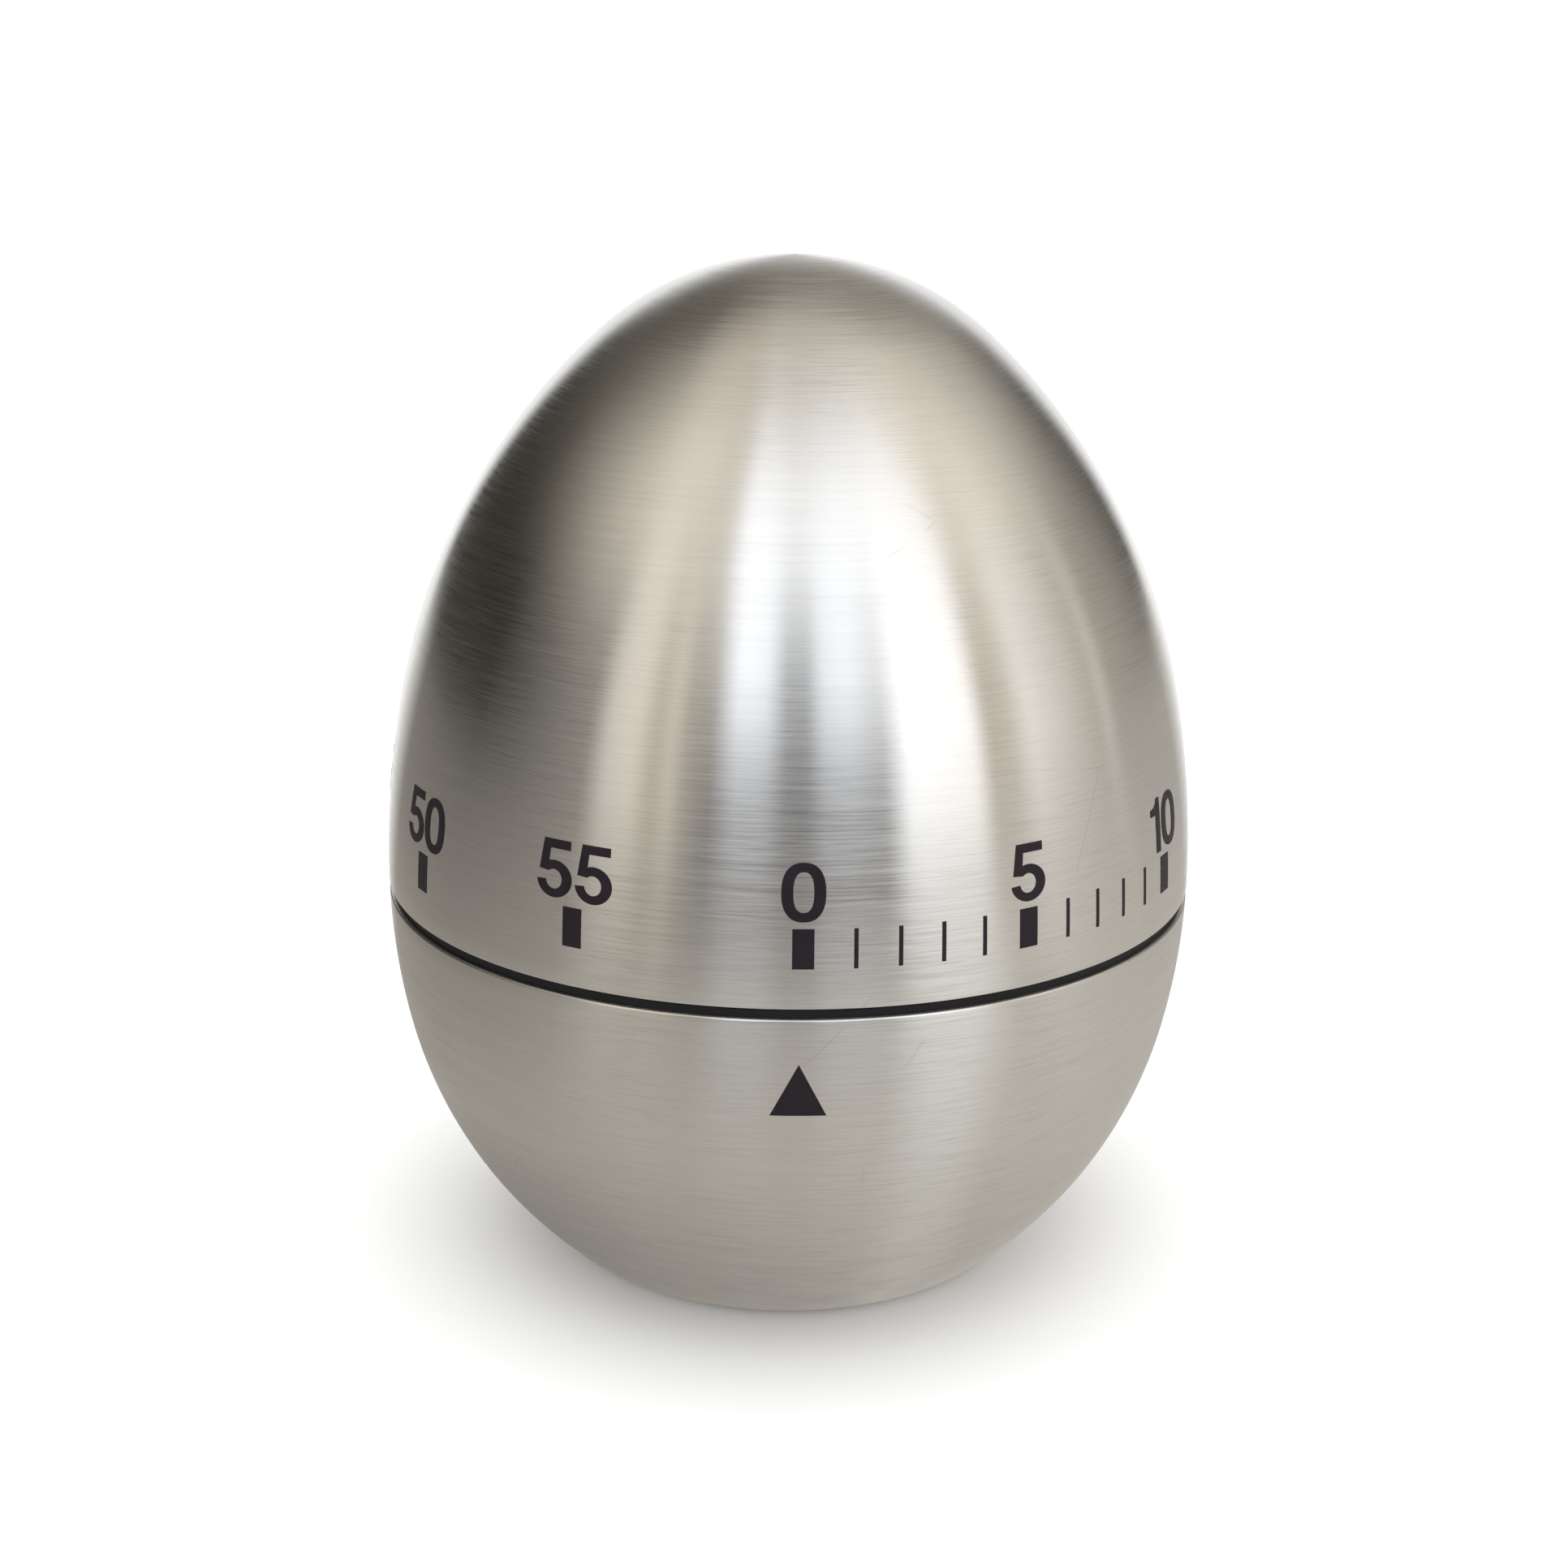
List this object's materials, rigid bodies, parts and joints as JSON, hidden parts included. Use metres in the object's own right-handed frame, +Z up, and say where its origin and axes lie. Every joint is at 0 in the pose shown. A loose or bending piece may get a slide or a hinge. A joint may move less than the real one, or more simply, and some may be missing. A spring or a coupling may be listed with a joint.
{
  "type": "kitchen timer",
  "caption": "Egg-shaped steel kitchen timer with a turning top half printed in minutes, clockwork train and alarm bell inside.",
  "frame": {"origin": "middle of the underside, on the table", "axes": "+Z up along the egg's axis; the printed zero and the triangle pointer face -Y"},
  "size_m": [0.06, 0.06, 0.0742],
  "materials": {
    "shell_steel": "finely brushed round the egg, satin",
    "black_plastic": "moulded, fine grain",
    "ink": "screen printed, satin",
    "plate_steel": "rolled and pressed, lightly oiled",
    "arbor_steel": "turned and polished",
    "spring_steel": "hardened, blue-grey",
    "screw_steel": "zinc plated, slightly yellow",
    "nickel": "nickel plated",
    "brass": "stamped, satin"
  },
  "bodies": {
    "base": {"lower_shell": "shell_steel", "base_housing": "black_plastic", "base_cover": "black_plastic", "base_screws": "screw_steel", "movement_screws": "screw_steel", "bottom_plate": "plate_steel", "top_plate": "plate_steel", "plate_pillars": "plate_steel", "plate_screws": "screw_steel", "bell": "nickel", "bell_screw": "screw_steel", "spring_post": "arbor_steel", "mainspring": "spring_steel"},
    "dial": {"upper_shell": "shell_steel", "dial_carrier": "black_plastic", "main_arbor": "arbor_steel", "main_wheel": "brass", "clutch_spring": "spring_steel", "arbor_clip": "spring_steel", "alarm_cam": "plate_steel"},
    "second": {"second_pinion": "arbor_steel", "second_wheel": "brass"},
    "third": {"third_pinion": "arbor_steel", "third_wheel": "brass"},
    "escape": {"escape_pinion": "arbor_steel", "escape_wheel": "brass"},
    "balance": {"pallet_arbor": "arbor_steel", "pallet_fork": "brass", "pallet_pins": "arbor_steel", "balance_weight": "brass"},
    "strike": {"strike_pinion": "arbor_steel", "strike_star": "plate_steel"},
    "hammer": {"hammer_arbor": "arbor_steel", "hammer_arm": "plate_steel", "hammer_head": "brass", "hammer_fork": "plate_steel", "cam_follower": "plate_steel", "hammer_spring": "spring_steel"}
  },
  "joints": [
    {"name": "dial_turn", "type": "hinge", "parent": "base", "child": "dial", "pos_m": [0, 0, 0.02], "axis": [0, 0, -1], "range_deg": [0, 354], "deforming": ["mainspring"]},
    {"name": "second_spin", "type": "hinge", "parent": "base", "child": "second", "pos_m": [-0.01316, -0.00479, 0.02], "axis": [0, 0, -1], "continuous": true},
    {"name": "third_spin", "type": "hinge", "parent": "base", "child": "third", "pos_m": [-0.00888, -0.01271, 0.02], "axis": [0, 0, -1], "continuous": true},
    {"name": "escape_spin", "type": "hinge", "parent": "base", "child": "escape", "pos_m": [-0.0026, -0.01528, 0.02], "axis": [0, 0, -1], "continuous": true},
    {"name": "balance_swing", "type": "hinge", "parent": "base", "child": "balance", "pos_m": [0.0036, -0.01508, 0.02], "axis": [0, 0, -1], "range_deg": [-6, 6]},
    {"name": "strike_spin", "type": "hinge", "parent": "base", "child": "strike", "pos_m": [0.007, 0.01212, 0.02], "axis": [0, 0, -1], "continuous": true},
    {"name": "hammer_swing", "type": "hinge", "parent": "base", "child": "hammer", "pos_m": [0, 0.017, 0.02], "axis": [0, 0, -1], "range_deg": [0, 6], "deforming": ["hammer_spring"]}
  ],
  "couplings": [
    {"joint": "second_spin", "follows": "dial_turn", "ratio": -9},
    {"joint": "third_spin", "follows": "dial_turn", "ratio": 72},
    {"joint": "escape_spin", "follows": "dial_turn", "ratio": -540},
    {"joint": "strike_spin", "follows": "dial_turn", "ratio": -9}
  ]
}
